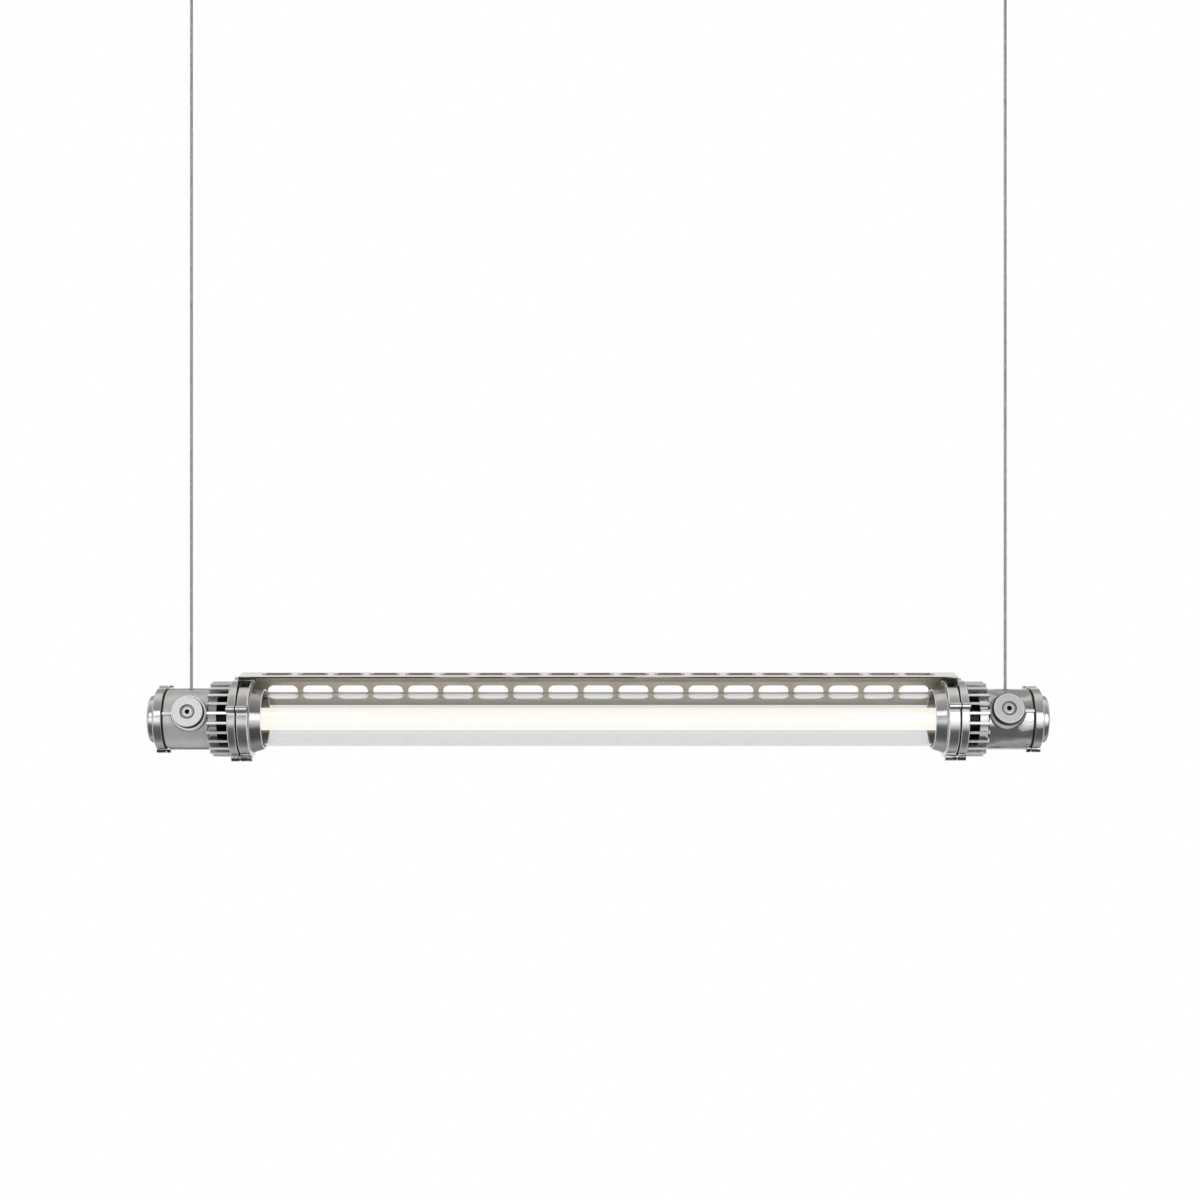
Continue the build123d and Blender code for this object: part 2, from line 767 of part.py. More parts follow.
upper_pivot = -upper_pivot_drop
lower_pivot = lower_pivot_height - axis_drop
levels = {"upper": (upper_pivot, -1), "lower": (lower_pivot, 1)}
for name, side in sides.items():
    for level, (height, towards_cable) in levels.items():
        with BuildPart() as swivel:
            disc(swivel_plane(side, height, -barrel_length / 2), barrel_radius, barrel_length)
            with BuildSketch(Plane.XY.move(Location((side * cable_along, 0, height)))) as slot:
                Rectangle(barrel_slot_length, barrel_slot_width)
            extrude(slot.sketch, amount=barrel_radius, both=True, mode=Mode.SUBTRACT)
            for end in (-1, 1):
                disc(
                    swivel_plane(side, height, end * barrel_length / 2), trunnion_radius + trunnion_fit,
                    -end * (trunnion_depth + trunnion_fit), Mode.SUBTRACT,
                )
            pin_reach = barrel_radius - edge_break
            disc(
                cross_plane(side, height, -barrel_radius), swivel_pin_radius + pin_fit / 2,
                2 * barrel_radius, Mode.SUBTRACT,
            )
        save(swivel, f"{name}_{level}_swivel")

        with BuildPart() as swivel_pin:
            disc(cross_plane(side, height, -pin_reach), swivel_pin_radius, 2 * pin_reach)
        save(swivel_pin, f"{name}_{level}_pin")

        with BuildPart() as cable_eye:
            disc(cross_plane(side, height, -eye_thickness / 2), eye_radius, eye_thickness)
            sleeve = Plane.XY.move(Location((side * cable_along, 0, height)))
            disc(sleeve, sleeve_radius, towards_cable * sleeve_length)
            disc(
                cross_plane(side, height, -eye_thickness / 2), swivel_pin_radius + pin_fit,
                eye_thickness, Mode.SUBTRACT,
            )
        save(cable_eye, f"{name}_{level}_eye")

    with BuildPart() as cable:
        cable_foot = lower_pivot + sleeve_length
        cable_length = upper_pivot - sleeve_length - cable_foot
        foot = Plane.XY.move(Location((side * cable_along, 0, cable_foot)))
        disc(foot, cable_diameter / 2, cable_length)
    save(cable, f"{name}_cable")

    with BuildPart() as ceiling_flange:
        ceiling = Plane.XY.move(Location((side * cable_along, 0, 0)))
        disc(ceiling, flange_radius, -flange_thickness)
        rim = ceiling_flange.edges().filter_by(GeomType.CIRCLE).sort_by(Axis.Z)[0]
        chamfer(rim, edge_break)
        disc(ceiling.offset(-flange_thickness), hub_radius, -hub_length)
        mouth = ceiling_flange.edges().filter_by(GeomType.CIRCLE).sort_by(Axis.Z)[0]
        chamfer(mouth, edge_break)
        disc(ceiling.offset(-flange_thickness), hub_bore, -hub_length, Mode.SUBTRACT)
        disc(
            swivel_plane(side, upper_pivot, -hub_radius), trunnion_radius + seat_clearance,
            2 * hub_radius, Mode.SUBTRACT,
        )
        with BuildSketch(ceiling) as ceiling_holes:
            with Locations((0, -ceiling_hole_spacing / 2), (0, ceiling_hole_spacing / 2)):
                Circle(ceiling_hole_radius)
        extrude(ceiling_holes.sketch, amount=-flange_thickness, mode=Mode.SUBTRACT)
    save(ceiling_flange, f"{name}_ceiling_flange")

with BuildPart() as upper_trunnions:
    for side in sides.values():
        trunnion_pair(side, upper_pivot, hub_radius)
save(upper_trunnions, "upper_trunnions")

with BuildPart() as lower_trunnions:
    for side in sides.values():
        trunnion_pair(side, lower_pivot, ear_gap / 2 + ear_thickness)
save(lower_trunnions, "lower_trunnions")
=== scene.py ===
import bpy
from math import cos, pi, radians, sin
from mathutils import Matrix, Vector


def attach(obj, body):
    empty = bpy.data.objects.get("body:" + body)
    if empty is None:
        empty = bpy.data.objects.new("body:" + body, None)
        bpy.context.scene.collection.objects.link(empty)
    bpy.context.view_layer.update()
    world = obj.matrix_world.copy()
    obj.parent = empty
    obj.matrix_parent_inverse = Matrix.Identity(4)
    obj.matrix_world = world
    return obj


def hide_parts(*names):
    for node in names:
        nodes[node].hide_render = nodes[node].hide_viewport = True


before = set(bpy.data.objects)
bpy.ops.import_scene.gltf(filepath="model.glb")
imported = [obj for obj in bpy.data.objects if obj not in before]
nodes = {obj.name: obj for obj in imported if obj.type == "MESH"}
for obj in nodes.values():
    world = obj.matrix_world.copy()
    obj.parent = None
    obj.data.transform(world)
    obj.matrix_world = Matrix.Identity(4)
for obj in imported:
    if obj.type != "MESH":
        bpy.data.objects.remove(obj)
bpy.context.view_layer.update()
scene = bpy.context.scene
scene.view_settings.view_transform = "Standard"
bpy.ops.object.select_all(action="DESELECT")

axisZ = -0.890          # height of the lamp's axis
sides = {"left": -1, "right": 1}

# camera level with the lamp, straight in front
cameraSet = {"place": (0.0020, -2.315, axisZ), "lens": 58.5, "sensor": 36, "shiftY": 0.0992}

cameraData = bpy.data.cameras.new("camera")
cameraData.lens = cameraSet["lens"]
cameraData.sensor_width = cameraSet["sensor"]
cameraData.shift_y = cameraSet["shiftY"]
camera = bpy.data.objects.new("camera", cameraData)
camera.location = cameraSet["place"]
camera.rotation_euler = (radians(90), 0, 0)
scene.collection.objects.link(camera)
scene.camera = camera
print("camera set")


# node helpers: an input takes a plain value or another node's output
def newMaterial(name):
    material = bpy.data.materials.new(name)
    material.use_nodes = True
    tree = material.node_tree
    return material, tree, tree.nodes["Principled BSDF"]


def newGroup(name, inputs, outputs):
    group = bpy.data.node_groups.new(name, "ShaderNodeTree")
    for way, sockets in (("INPUT", inputs), ("OUTPUT", outputs)):
        for label, kind in sockets.items():
            group.interface.new_socket(label, in_out=way, socket_type="NodeSocket" + kind)
    given = group.nodes.new("NodeGroupInput")
    out = group.nodes.new("NodeGroupOutput")
    return group, {label: given.outputs[label] for label in inputs}, out


def addNode(tree, kind, **settings):
    node = tree.nodes.new(kind)
    for key, value in settings.items():
        setattr(node, key, value)
    return node


def feed(tree, socket, value):
    if isinstance(value, bpy.types.NodeSocket):
        tree.links.new(value, socket)
    else:
        socket.default_value = value


def feedAll(tree, node, values):
    for label, value in values.items():
        feed(tree, node.inputs[label], value)


def addGroup(tree, group, values):
    node = addNode(tree, "ShaderNodeGroup", node_tree=group)
    feedAll(tree, node, values)
    return node


def calculate(tree, operation, *values):
    node = addNode(tree, "ShaderNodeMath", operation=operation)
    for socket, value in zip(node.inputs, values):
        feed(tree, socket, value)
    return node.outputs["Value"]


def combine(tree, operation, *values):
    total = values[0]
    for value in values[1:]:
        total = calculate(tree, operation, total, value)
    return total


def calculateVector(tree, operation, *values):
    node = addNode(tree, "ShaderNodeVectorMath", operation=operation)
    for socket, value in zip(node.inputs, values):
        feed(tree, socket, value)
    return node.outputs["Value" if operation in ("LENGTH", "DOT_PRODUCT") else "Vector"]


# a value carried from one range to another
def remap(tree, value, start, stop, low=0.0, high=1.0, kind="LINEAR"):
    node = addNode(tree, "ShaderNodeMapRange", interpolation_type=kind)
    feedAll(tree, node, {"Value": value, "From Min": start, "From Max": stop, "To Min": low, "To Max": high})
    return node.outputs["Result"]


# the same with soft ends
def softStep(tree, value, start, stop, low=0.0, high=1.0):
    return remap(tree, value, start, stop, low, high, "SMOOTHSTEP")


# a soft step with its middle at one place
def stepAt(tree, value, place, blend, low=0.0, high=1.0):
    return softStep(tree, value, place - blend, place + blend, low, high)


def between(tree, share, low, high):
    return remap(tree, share, 0.0, 1.0, low, high)


def mixColour(tree, share, first, second, blend="MIX"):
    mix = addNode(tree, "ShaderNodeMix", data_type="RGBA", blend_type=blend)
    feedAll(tree, mix, {"Factor": share, "A": first, "B": second})
    return mix.outputs["Result"]


def timesShade(tree, colour, *shades):
    for shade in shades:
        colour = mixColour(tree, 1.0, colour, shade, "MULTIPLY")
    return colour


def addRamp(tree, value, stops):
    ramp = tree.nodes.new("ShaderNodeValToRGB")
    elements = ramp.color_ramp.elements
    while len(elements) < len(stops):
        elements.new(0.5)
    for element, (place, colour) in zip(elements, stops):
        element.position = place
        element.color = colour
    tree.links.new(value, ramp.inputs["Fac"])
    return ramp.outputs["Color"]


def addNoise(tree, vector, scale, detail, rough=0.5):
    noise = tree.nodes.new("ShaderNodeTexNoise")
    feedAll(tree, noise, {"Vector": vector, "Scale": scale, "Detail": detail, "Roughness": rough})
    return noise.outputs["Fac"]


def addBump(tree, shader, height, strength, depth):
    bump = tree.nodes.new("ShaderNodeBump")
    feedAll(tree, bump, {"Height": height, "Strength": strength, "Distance": depth})
    tree.links.new(bump.outputs["Normal"], shader.inputs["Normal"])


def grey(value):
    return (value, value, value, 1)


# places on the lamp, all in object coordinates
def objectVector(tree):
    return tree.nodes.new("ShaderNodeTexCoord").outputs["Object"]


def splitVector(tree, vector):
    split = tree.nodes.new("ShaderNodeSeparateXYZ")
    tree.links.new(vector, split.inputs["Vector"])
    return [split.outputs[axis] for axis in "XYZ"]


def lengthOf(tree, **parts):
    vector = tree.nodes.new("ShaderNodeCombineXYZ")
    feedAll(tree, vector, parts)
    return calculateVector(tree, "LENGTH", vector.outputs["Vector"])


# distance from the lamp's axis
def axisReach(tree, y, z):
    return lengthOf(tree, Y=y, Z=calculate(tree, "SUBTRACT", z, axisZ))


# shared effect: metal grain, cloudy tone and fine grain
grainSet = {"cloudDetail": 4.0, "cloudRough": 0.55, "grainDetail": 3.0, "grainRough": 0.6,
            "cloudSpread": (0.3, 0.7), "grainShare": 0.5}


def makeGrainGroup():
    group, given, out = newGroup(
        "metalGrain", {"Tone": "Color", "Dark Tone": "Color", "Cloud Scale": "Float", "Grain Scale": "Float",
                       "Rough Low": "Float", "Rough High": "Float"},
        {"Color": "Color", "Roughness": "Float", "Height": "Float"})
    vector = objectVector(group)
    cloud = addNoise(group, vector, given["Cloud Scale"], grainSet["cloudDetail"], grainSet["cloudRough"])
    grain = addNoise(group, vector, given["Grain Scale"], grainSet["grainDetail"], grainSet["grainRough"])
    spread = remap(group, cloud, *grainSet["cloudSpread"])
    mixed = between(group, grainSet["grainShare"], spread, grain)
    feedAll(group, out, {"Color": mixColour(group, spread, given["Dark Tone"], given["Tone"]),
                         "Roughness": between(group, mixed, given["Rough Low"], given["Rough High"]),
                         "Height": grain})
    return group


grainGroup = makeGrainGroup()


def addGrain(tree, tone, darkTone, cloudScale, grainScale, rough):
    return addGroup(tree, grainGroup, {"Tone": tone, "Dark Tone": darkTone, "Cloud Scale": cloudScale,
                                       "Grain Scale": grainScale, "Rough Low": rough[0], "Rough High": rough[1]})


# shared effect: a painted highlight along one turned rim
rimLook = {"width": 0.0021, "tone": (0.97, 0.97, 0.97, 1), "metallic": 0.12}


def makeRimGroup():
    group, given, out = newGroup(
        "rimHighlight", {"Along": "Float", "Radius": "Float", "Width": "Float", "Strength": "Float"}, {"Mask": "Float"})
    x, y, z = splitVector(group, objectVector(group))
    along = calculate(group, "SUBTRACT", calculate(group, "ABSOLUTE", x), given["Along"])
    outwards = calculate(group, "SUBTRACT", axisReach(group, y, z), given["Radius"])
    distance = lengthOf(group, X=along, Y=outwards)
    feedAll(group, out, {"Mask": softStep(group, distance, 0.0, given["Width"], given["Strength"], 0.0)})
    return group


rimGroup = makeRimGroup()


# painted highlights on rims, and on other given places, over a colour and a metallic value
def paintRimHighlights(tree, colour, metallic, rims, bright=None):
    masks = [] if bright is None else [bright]
    for along, radius, strength in rims:
        rim = addGroup(tree, rimGroup, {"Along": along, "Radius": radius, "Width": rimLook["width"],
                                        "Strength": strength})
        masks.append(rim.outputs["Mask"])
    mask = combine(tree, "MAXIMUM", *masks)
    return mixColour(tree, mask, colour, rimLook["tone"]), between(tree, mask, metallic, rimLook["metallic"])


# shared effect: painted shade in patches on the lugs under the castings
lugLook = {"flange": 0.0463, "cap": 0.0374, "capFrom": 0.5000, "below": axisZ - 0.030, "edge": 0.0003,
           "tone": (0.26, 0.66), "patchScale": 130, "patchDetail": 1.0, "patch": (0.48, 0.62)}


def makeLugGroup():
    look = lugLook
    edge = look["edge"]
    group, given, out = newGroup("lugShade", {"Low Tone": "Float", "High Tone": "Float"}, {"Shade": "Float"})
    vector = objectVector(group)
    x, y, z = splitVector(group, vector)
    along = calculate(group, "ABSOLUTE", x)
    reach = axisReach(group, y, z)
    onCap = calculate(group, "MULTIPLY", softStep(group, along, look["capFrom"] - edge, look["capFrom"]),
                      softStep(group, reach, look["cap"] - edge, look["cap"]))
    onLug = calculate(group, "MAXIMUM", onCap, softStep(group, reach, look["flange"] - edge, look["flange"]))
    low = softStep(group, z, look["below"], look["below"] + edge, 1.0, 0.0)
    patches = addNoise(group, vector, look["patchScale"], look["patchDetail"])
    tone = softStep(group, patches, *look["patch"], given["Low Tone"], given["High Tone"])
    feedAll(group, out, {"Shade": between(group, calculate(group, "MULTIPLY", onLug, low), 1.0, tone)})
    return group


lugGroup = makeLugGroup()


def lowLugs(tree):
    low, high = lugLook["tone"]
    return addGroup(tree, lugGroup, {"Low Tone": low, "High Tone": high}).outputs["Shade"]


# shared effect: one tone inside a radius from a plug's axis, and another outside it
def makePlugGroup():
    group, given, out = newGroup(
        "plugTone", {"Vector": "Vector", "Radius": "Float", "Edge": "Float", "Tone": "Float", "Outer Tone": "Float"},
        {"Shade": "Float"})
    reach = calculateVector(group, "LENGTH", calculateVector(group, "MULTIPLY", given["Vector"], (1, 0, 1)))
    start = calculate(group, "SUBTRACT", given["Radius"], given["Edge"])
    feedAll(group, out, {"Shade": softStep(group, reach, start, given["Radius"], given["Tone"],
                                           given["Outer Tone"])})
    return group


plugGroup = makePlugGroup()
plugAlong = 0.4784
castingRoll = {"left": radians(10.5), "right": radians(15.5)}


def plugShade(tree, vector, radius, edge, tone, outerTone=1.0):
    return addGroup(tree, plugGroup, {"Vector": vector, "Radius": radius, "Edge": edge, "Tone": tone,
                                      "Outer Tone": outerTone}).outputs["Shade"]


# coordinates with one plug's own axis as Y
def plugPlace(tree, vector, side):
    place = addNode(tree, "ShaderNodeMapping", vector_type="TEXTURE")
    feedAll(tree, place, {"Vector": vector, "Location": (sides[side] * plugAlong, 0, axisZ),
                          "Rotation": (-castingRoll[side], 0, 0)})
    return place.outputs["Vector"]


# the left plug's coordinates on the left half, the right plug's on the right half
def eitherPlug(tree, vector, onRight):
    either = addNode(tree, "ShaderNodeMix", data_type="VECTOR")
    feedAll(tree, either, {"Factor": onRight, "A": plugPlace(tree, vector, "left"),
                           "B": plugPlace(tree, vector, "right")})
    return either.outputs["Result"]


# painted shade: the collars' sloping lips are darker than their flanges, the left one most
def lipShade(tree, look):
    x = splitVector(tree, objectVector(tree))[0]
    along = calculate(tree, "ABSOLUTE", x)
    start, stop = look["lip"]
    blend = look["lipBlend"]
    onLip = calculate(tree, "MULTIPLY", stepAt(tree, along, start, blend),
                      stepAt(tree, along, stop, blend, 1.0, 0.0))
    return between(tree, onLip, 1.0, stepAt(tree, x, 0.0, blend, *look["lipTone"]))


def grainMaterial(name, look):
    material, tree, shader = newMaterial(name)
    group = addGrain(tree, look["tone"], look["darkTone"], look["cloudScale"], look["grainScale"], look["rough"])
    colour, metal = group.outputs["Color"], look["metallic"]
    if "rims" in look:
        colour = timesShade(tree, colour, lipShade(tree, look))
        colour, metal = paintRimHighlights(tree, colour, metal, look["rims"])
        colour = timesShade(tree, colour, lowLugs(tree))
    feedAll(tree, shader, {"Base Color": colour, "Metallic": metal, "Roughness": group.outputs["Roughness"]})
    addBump(tree, shader, group.outputs["Height"], look["bump"], look["bumpDepth"])
    return material


# a rim is its place along the lamp, its radius and its strength
looks = {
    "turnedCasting": {"tone": (0.76, 0.755, 0.75, 1), "darkTone": (0.66, 0.655, 0.65, 1), "cloudScale": 40,
                      "grainScale": 900, "rough": (0.15, 0.23), "bump": 0.03, "bumpDepth": 0.0002, "metallic": 1.0,
                      "lip": (0.3956, 0.4082), "lipBlend": 0.0006, "lipTone": (0.66, 0.93),
                      "rims": [(0.3950, 0.0346, 1.0), (0.4090, 0.0448, 0.9), (0.4220, 0.0450, 0.45),
                               (0.5220, 0.0366, 0.35), (0.5300, 0.0272, 0.3)]},
    "brightSteel": {"tone": (0.72, 0.72, 0.72, 1), "darkTone": (0.60, 0.60, 0.60, 1), "cloudScale": 120,
                    "grainScale": 1500, "rough": (0.12, 0.24), "bump": 0.08, "bumpDepth": 0.0001, "metallic": 1.0},
    "blackRubber": {"tone": (0.022, 0.022, 0.023, 1), "darkTone": (0.012, 0.012, 0.012, 1), "cloudScale": 60,
                    "grainScale": 1800, "rough": (0.55, 0.75), "bump": 0.2, "bumpDepth": 0.0002, "metallic": 0.0},
    "tubeMetal": {"tone": (0.66, 0.65, 0.63, 1), "darkTone": (0.56, 0.55, 0.53, 1), "cloudScale": 80,
                  "grainScale": 1400, "rough": (0.28, 0.40), "bump": 0.1, "bumpDepth": 0.0001, "metallic": 1.0},
    "holderPlastic": {"tone": (0.80, 0.80, 0.78, 1), "darkTone": (0.74, 0.74, 0.72, 1), "cloudScale": 60,
                      "grainScale": 1600, "rough": (0.35, 0.5), "bump": 0.1, "bumpDepth": 0.0001, "metallic": 0.0},
    "boardWhite": {"tone": (0.82, 0.82, 0.80, 1), "darkTone": (0.76, 0.76, 0.74, 1), "cloudScale": 90,
                   "grainScale": 1600, "rough": (0.4, 0.5), "bump": 0.05, "bumpDepth": 0.0001, "metallic": 0.0},
    "brassPins": {"tone": (0.78, 0.60, 0.30, 1), "darkTone": (0.66, 0.49, 0.22, 1), "cloudScale": 200,
                  "grainScale": 1600, "rough": (0.2, 0.3), "bump": 0.05, "bumpDepth": 0.0001, "metallic": 1.0},
    "leadCover": {"tone": (0.62, 0.62, 0.60, 1), "darkTone": (0.54, 0.54, 0.52, 1), "cloudScale": 120,
                  "grainScale": 1600, "rough": (0.45, 0.6), "bump": 0.08, "bumpDepth": 0.0001, "metallic": 0.0},
    "ropeSteel": {"tone": (0.68, 0.68, 0.67, 1), "darkTone": (0.50, 0.50, 0.49, 1), "cloudScale": 160,
                  "grainScale": 1600, "rough": (0.28, 0.42), "bump": 0.1, "bumpDepth": 0.0001, "metallic": 1.0},
}
finishes = {name: grainMaterial(name, look) for name, look in looks.items()}


# end housings: turned flange and fins, and a cast body behind them, satin on the left, polished on the right
housingLook = {"turnedTone": (0.76, 0.755, 0.75, 1), "turnedDark": (0.66, 0.655, 0.65, 1),
               "turnedRough": (0.15, 0.23), "turnedScales": (40, 900), "turnedMetal": 1.0,
               "castTone": (0.68, 0.675, 0.665, 1), "castDark": (0.58, 0.575, 0.565, 1), "castScales": (55, 420),
               "satinRough": (0.27, 0.37), "satinMetal": 0.45, "satinWave": 0.2,
               "polishedRough": (0.09, 0.16), "polishedMetal": 0.94, "polishedWave": 1.0,
               "bodyFrom": 0.4572, "bodyBlend": 0.0006, "bodyRadius": (0.0354, 0.0360),
               "waveScale": 22, "waveDetail": 1.0, "waveRough": 0.4, "waveDepth": 0.016, "grainLift": 0.004,
               "neckRadius": (0.0305, 0.0385), "neckTone": 0.02, "neckHeight": (0.010, 0.028), "neckFarTone": 0.40,
               "bossRadius": 0.0197, "bossEdge": 0.0003, "bossTone": 0.35, "edgeBlend": 0.0003,
               "ribFrom": 0.0362, "ribStrength": 0.75, "ribFoot": 0.0356, "ribFootReach": 0.0004, "ribFootTone": 0.3,
               "finTip": 0.0438, "finFrom": 0.4338, "finStrength": 0.6,
               "lugFrom": 0.5050, "lugRadius": 0.0380, "lugTone": 0.25, "gap": (0.5088, 0.5094), "gapTone": 0.12,
               "rims": [(0.4235, 0.0460, 0.35), (0.4330, 0.0457, 0.5)]}


# painted shade: the neck is dark in the gaps between the fins, most of all level with the lamp
def paintedNeckShade(tree, z, reach, body):
    look = housingLook
    level = calculate(tree, "ABSOLUTE", calculate(tree, "SUBTRACT", z, axisZ))
    deepest = softStep(tree, level, *look["neckHeight"], look["neckTone"], look["neckFarTone"])
    return calculate(tree, "MAXIMUM", softStep(tree, reach, *look["neckRadius"], deepest, 1.0), body)


# painted highlights on the ribs, the plugs' bosses and the fins' tips
def paintedEdgeHighlights(tree, along, reach, body, clear, offLugs):
    look = housingLook
    blend = look["edgeBlend"]
    ribs = stepAt(tree, reach, look["ribFrom"], blend, 0.0, look["ribStrength"])
    tips = stepAt(tree, reach, look["finTip"], blend, 0.0, look["finStrength"])
    pastFlange = stepAt(tree, along, look["finFrom"], blend)
    beforeBody = stepAt(tree, along, look["bodyFrom"], blend, 1.0, 0.0)
    return calculate(tree, "MAXIMUM", combine(tree, "MULTIPLY", ribs, body, clear, offLugs),
                     combine(tree, "MULTIPLY", tips, pastFlange, beforeBody))


# painted shade at the feet of the ribs, on the lugs for the cap and beside its gasket
def paintedShadePlaces(tree, along, reach, body, offLugs):
    look = housingLook
    foot = calculate(tree, "COMPARE", reach, look["ribFoot"], look["ribFootReach"])
    feet = softStep(tree, calculate(tree, "MULTIPLY", foot, body), 0.0, 1.0, 1.0, look["ribFootTone"])
    lugs = softStep(tree, offLugs, 0.0, 1.0, look["lugTone"], 1.0)
    gap = softStep(tree, along, *look["gap"], 1.0, look["gapTone"])
    return combine(tree, "MULTIPLY", feet, lugs, gap)


def housingMaterial():
    look = housingLook
    blend = look["edgeBlend"]
    material, tree, shader = newMaterial("endHousing")
    vector = objectVector(tree)
    x, y, z = splitVector(tree, vector)
    along = calculate(tree, "ABSOLUTE", x)
    reach = axisReach(tree, y, z)
    onRight = calculate(tree, "GREATER_THAN", x, 0.0)

    def bySide(left, right):
        return between(tree, onRight, left, right)

    # ribs and bosses stand out of the cast face and are turned bright
    body = stepAt(tree, along, look["bodyFrom"], look["bodyBlend"])
    cast = calculate(tree, "MULTIPLY", body, softStep(tree, reach, *look["bodyRadius"], 1.0, 0.0))
    turnedGrain = addGrain(tree, look["turnedTone"], look["turnedDark"], *look["turnedScales"], look["turnedRough"])
    castRough = [bySide(*pair) for pair in zip(look["satinRough"], look["polishedRough"])]
    castGrain = addGrain(tree, look["castTone"], look["castDark"], *look["castScales"], castRough)
    colour = mixColour(tree, cast, turnedGrain.outputs["Color"], castGrain.outputs["Color"])
    rough = between(tree, cast, turnedGrain.outputs["Roughness"], castGrain.outputs["Roughness"])
    metal = between(tree, cast, look["turnedMetal"], bySide(look["satinMetal"], look["polishedMetal"]))
    # painted shade on the ring round each plug, on the front only
    plug = eitherPlug(tree, vector, onRight)
    behind = calculate(tree, "GREATER_THAN", splitVector(tree, plug)[1], 0.0)
    ring = plugShade(tree, plug, look["bossRadius"], look["bossEdge"], look["bossTone"])
    offBoss = plugShade(tree, plug, look["bossRadius"] + blend, blend, 0.0)
    clear = calculate(tree, "MAXIMUM", offBoss, behind)
    offLugs = calculate(tree, "MAXIMUM", stepAt(tree, along, look["lugFrom"], blend, 1.0, 0.0),
                        stepAt(tree, reach, look["lugRadius"], blend, 1.0, 0.0))
    colour = timesShade(tree, colour, paintedNeckShade(tree, z, reach, body), calculate(tree, "MAXIMUM", ring, behind),
                        paintedShadePlaces(tree, along, reach, body, offLugs))
    bright = paintedEdgeHighlights(tree, along, reach, body, clear, offLugs)
    colour, metal = paintRimHighlights(tree, colour, metal, look["rims"], bright)
    feedAll(tree, shader, {"Base Color": timesShade(tree, colour, lowLugs(tree)), "Metallic": metal,
                           "Roughness": rough})
    # the cast body is a little uneven, under a fine grain
    wave = addNoise(tree, vector, look["waveScale"], look["waveDetail"], look["waveRough"])
    uneven = calculate(tree, "MULTIPLY_ADD", castGrain.outputs["Height"], look["grainLift"], wave)
    lift = combine(tree, "MULTIPLY", bySide(look["satinWave"], look["polishedWave"]), cast, uneven)
    addBump(tree, shader, lift, 1.0, look["waveDepth"])
    return material


# guard: folded sheet, brighter on its front fold, with painted shade inside its far slope and on its end plates by the
# flanges
guardLook = {"frontTone": (0.84, 0.835, 0.82, 1), "frontDark": (0.74, 0.73, 0.71, 1), "frontRough": (0.14, 0.22),
             "innerTone": (0.64, 0.59, 0.525, 1), "innerDark": (0.57, 0.52, 0.46, 1), "innerRough": (0.56, 0.66),
             "frontTo": 0.010, "blend": 0.001, "cloudScale": 22, "grainScale": 1200, "metallic": 1.0,
             "bump": 0.06, "bumpDepth": 0.0002, "edgeAt": -0.0209, "edgeBlend": 0.0002, "edgeTone": (0.10, 0.75),
             "edgeBreaks": 14, "breakDetail": 1.0, "edgeShadeSpread": (0.50, 0.62),
             "slotWall": 0.0047, "slotReach": 0.0005, "slotTone": 0.35,
             "plateFrom": 0.4218, "plateRadius": 0.047, "plateTone": 0.12}


def guardMaterial():
    look = guardLook
    material, tree, shader = newMaterial("guardSheet")
    coord = tree.nodes.new("ShaderNodeTexCoord")
    vector = coord.outputs["Object"]
    x, y, z = splitVector(tree, vector)
    # painted shade: the far slope is darker, browner and rougher only on its side towards the lamp
    behind = remap(tree, y, look["frontTo"] - look["blend"], look["frontTo"] + look["blend"])
    outwards = calculateVector(tree, "SUBTRACT", vector, (0, 0, axisZ))
    across = calculateVector(tree, "MULTIPLY", outwards, (0, 1, 1))
    facing = calculateVector(tree, "DOT_PRODUCT", coord.outputs["Normal"], across)
    inner = calculate(tree, "MULTIPLY", behind, calculate(tree, "LESS_THAN", facing, 0.0))
    tone = mixColour(tree, inner, look["frontTone"], look["innerTone"])
    dark = mixColour(tree, inner, look["frontDark"], look["innerDark"])
    rough = [between(tree, inner, *pair) for pair in zip(look["frontRough"], look["innerRough"])]
    group = addGrain(tree, tone, dark, look["cloudScale"], look["grainScale"], rough)
    # painted shade on the end plates' inner faces by the flanges
    beforeJoint = calculate(tree, "LESS_THAN", calculate(tree, "ABSOLUTE", x), look["plateFrom"])
    outside = calculate(tree, "GREATER_THAN", axisReach(tree, y, z), look["plateRadius"])
    plateShade = between(tree, calculate(tree, "MAXIMUM", beforeJoint, outside), look["plateTone"], 1.0)
    # painted shade: the cut front edge is dark in uneven lengths, and so are the slots' back walls
    breaks = addNoise(tree, vector, look["edgeBreaks"], look["breakDetail"])
    brokenShade = softStep(tree, breaks, *look["edgeShadeSpread"], *look["edgeTone"])
    edge = remap(tree, y, look["edgeAt"], look["edgeAt"] + look["edgeBlend"], brokenShade, 1.0)
    wall = calculate(tree, "COMPARE", y, look["slotWall"], look["slotReach"])
    slot = between(tree, wall, 1.0, look["slotTone"])
    feedAll(tree, shader, {"Base Color": timesShade(tree, group.outputs["Color"], plateShade, edge, slot),
                           "Roughness": group.outputs["Roughness"], "Metallic": look["metallic"]})
    addBump(tree, shader, group.outputs["Height"], look["bump"], look["bumpDepth"])
    return material


# plug screws: bright domes, with painted shade in a round patch over the hexagon hole
socketLook = {"radius": 0.0031, "edge": 0.0003, "tone": 0.02, "steel": (0.68, 0.68, 0.68, 1), "rough": 0.28,
              "metallic": 0.45}


def socketMaterial():
    look = socketLook
    material, tree, shader = newMaterial("plugScrew")
    vector = objectVector(tree)
    onRight = calculate(tree, "GREATER_THAN", splitVector(tree, vector)[0], 0.0)
    shade = plugShade(tree, eitherPlug(tree, vector, onRight), look["radius"], look["edge"], look["tone"])
    feedAll(tree, shader, {"Base Color": timesShade(tree, look["steel"], shade), "Roughness": look["rough"],
                           "Metallic": look["metallic"]})
    return material


